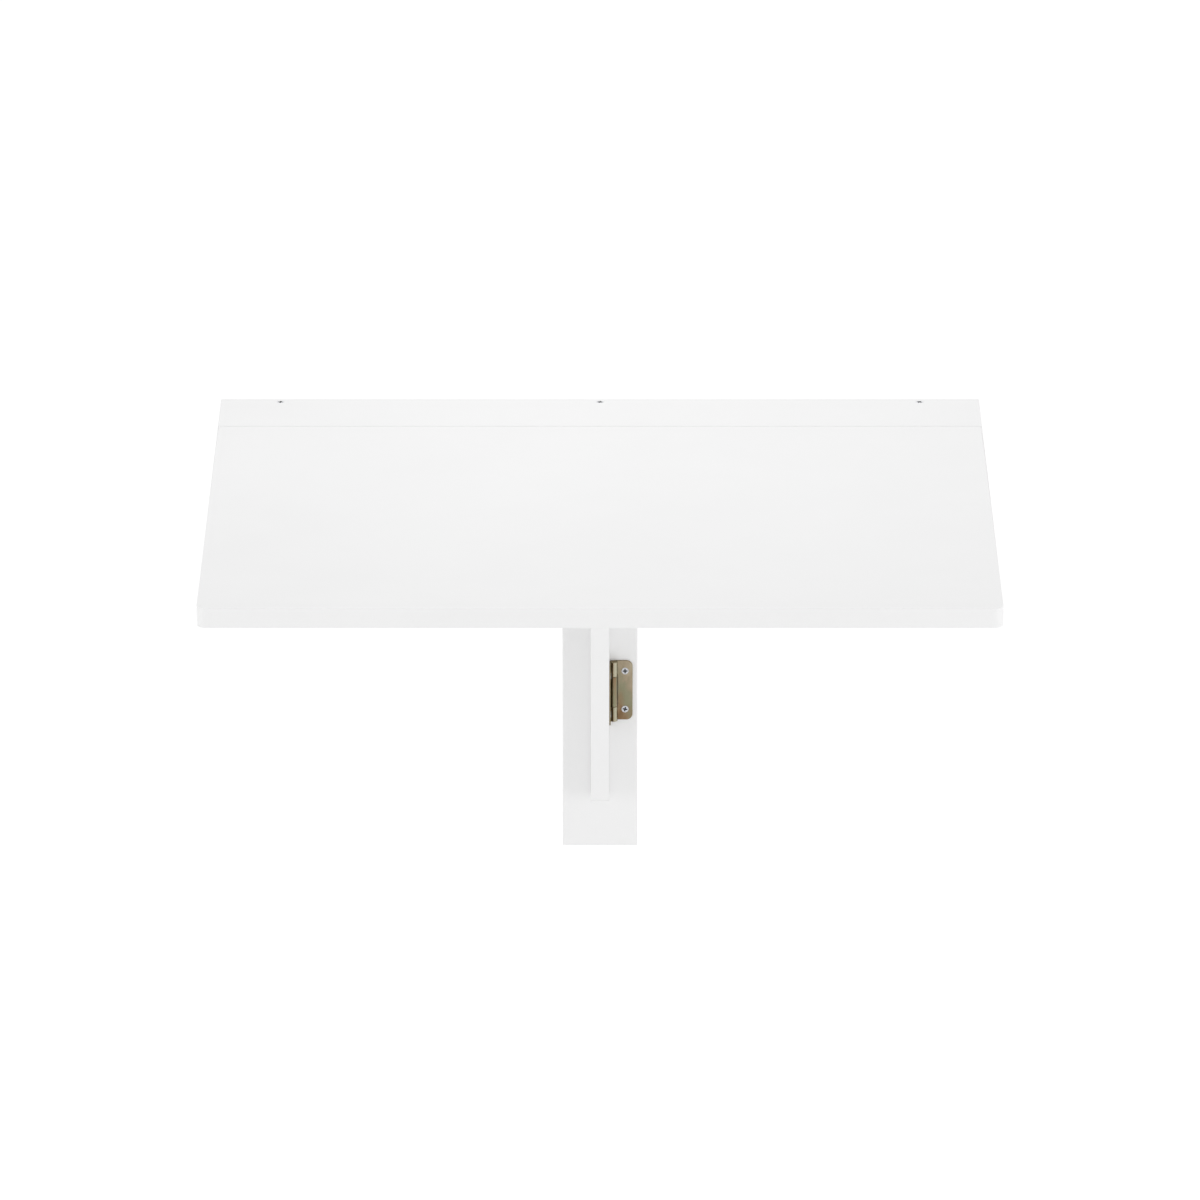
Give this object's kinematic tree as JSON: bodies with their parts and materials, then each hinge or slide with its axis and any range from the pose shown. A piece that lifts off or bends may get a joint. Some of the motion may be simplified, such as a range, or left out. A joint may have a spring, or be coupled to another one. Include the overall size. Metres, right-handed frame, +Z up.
{
  "type": "wall mounted drop leaf table",
  "caption": "Wall mounted drop leaf table: a hinged leaf beside a fixed strip, carried by a triangular bracket that swings out from a post on the wall.",
  "frame": {"origin": "on the wall, at the middle of the back face of the rail under the fixed strip", "axes": "+X to the right as one faces the wall, +Y into the wall, +Z up"},
  "size_m": [0.74, 0.6, 0.461],
  "materials": {
    "white_paint": "white lacquer sprayed on board, satin",
    "yellow_zinc": "zinc plated and yellow passivated, slightly iridescent",
    "bright_zinc": "bright zinc plated",
    "beech": "raw turned beech"
  },
  "bodies": {
    "wall_frame": {"wall_rail": "white_paint", "wall_post": "white_paint", "fixed_top_strip": "white_paint", "strip_screws": "bright_zinc", "post_dowels": "beech", "leaf_hinge_left_strip_plate": "yellow_zinc", "leaf_hinge_left_strip_screws": "bright_zinc", "leaf_hinge_left_pin": "yellow_zinc", "leaf_hinge_right_strip_plate": "yellow_zinc", "leaf_hinge_right_strip_screws": "bright_zinc", "leaf_hinge_right_pin": "yellow_zinc", "bracket_hinge_upper_post_plate": "yellow_zinc", "bracket_hinge_upper_post_screws": "bright_zinc", "bracket_hinge_upper_pin": "yellow_zinc", "bracket_hinge_lower_post_plate": "yellow_zinc", "bracket_hinge_lower_post_screws": "bright_zinc", "bracket_hinge_lower_pin": "yellow_zinc"},
    "leaf": {"drop_leaf": "white_paint", "leaf_hinge_left_leaf_plate": "yellow_zinc", "leaf_hinge_left_leaf_screws": "bright_zinc", "leaf_hinge_right_leaf_plate": "yellow_zinc", "leaf_hinge_right_leaf_screws": "bright_zinc"},
    "bracket": {"swing_bracket": "white_paint", "bracket_hinge_upper_bracket_plate": "yellow_zinc", "bracket_hinge_upper_bracket_screws": "bright_zinc", "bracket_hinge_lower_bracket_plate": "yellow_zinc", "bracket_hinge_lower_bracket_screws": "bright_zinc"}
  },
  "joints": [
    {"name": "leaf_hinge", "type": "hinge", "parent": "wall_frame", "child": "leaf", "pos_m": [0, -0.0824, 0.0327], "axis": [1, 0, 0], "range_deg": [-1.5, 0]},
    {"name": "bracket_swing", "type": "hinge", "parent": "wall_frame", "child": "bracket", "pos_m": [0.0133, -0.0223, 0], "axis": [0, 0, 1], "range_deg": [0, 90]}
  ]
}
